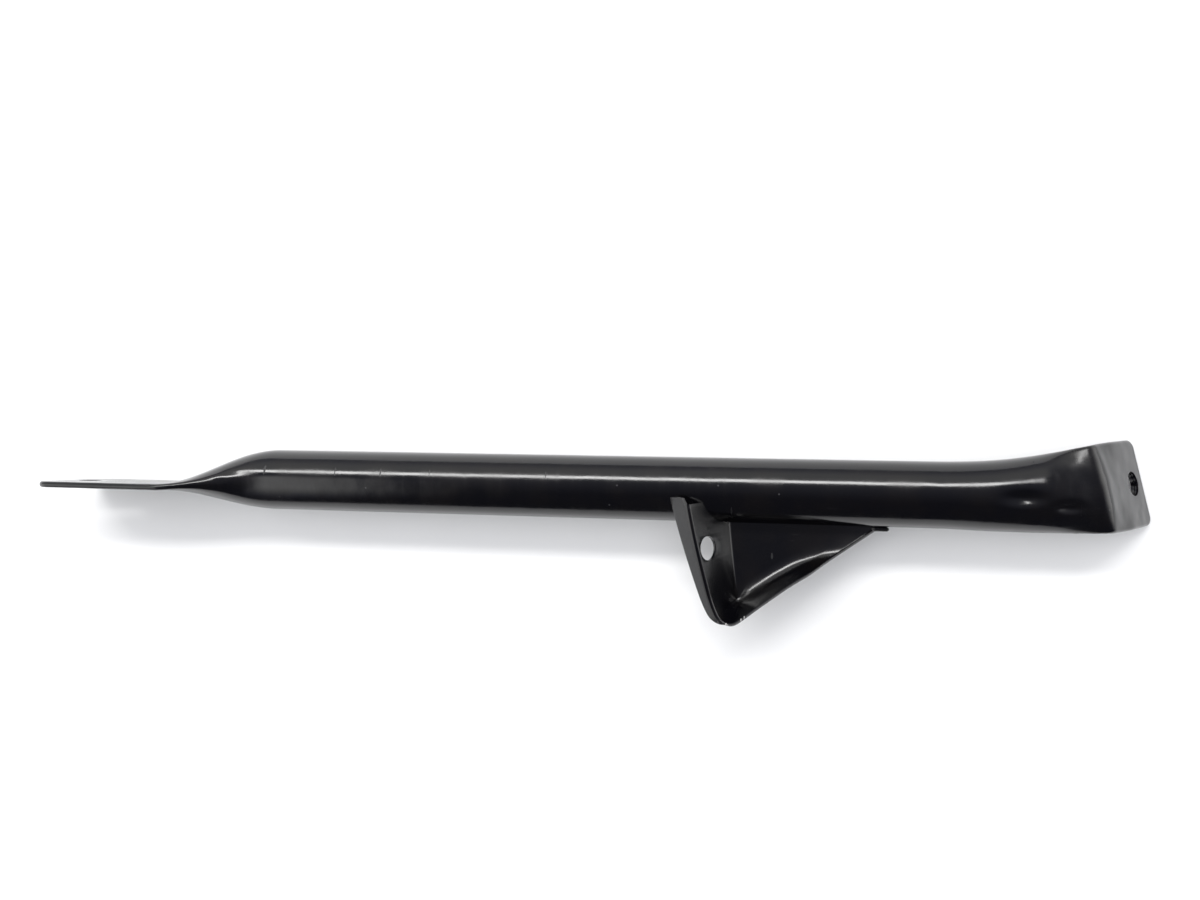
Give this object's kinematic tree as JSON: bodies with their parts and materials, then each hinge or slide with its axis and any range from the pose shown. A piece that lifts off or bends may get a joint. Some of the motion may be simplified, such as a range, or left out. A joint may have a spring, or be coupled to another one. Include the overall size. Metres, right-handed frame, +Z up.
{
  "type": "motorcycle frame stay",
  "caption": "Black tube stay: both ends crushed flat for bolts, one of them folded down, with a pressed triangular gusset tray welded to its side.",
  "frame": {"origin": "bottom centre of the bounding box, on the surface that the stay lies on", "axes": "+X along the straight tube, towards the folded tab; -Y towards the gusset bracket; +Z up"},
  "size_m": [0.5384, 0.0868, 0.0476],
  "materials": {
    "tube_paint": "gloss black paint",
    "bracket_paint": "gloss black paint",
    "weld_paint": "black paint over a rippled weld"
  },
  "bodies": {
    "root": {"strut_tube": "tube_paint", "gusset_bracket": "bracket_paint", "weld_flange": "weld_paint", "weld_web_front": "weld_paint", "weld_web_rear": "weld_paint", "weld_tail": "weld_paint"}
  },
  "joints": []
}
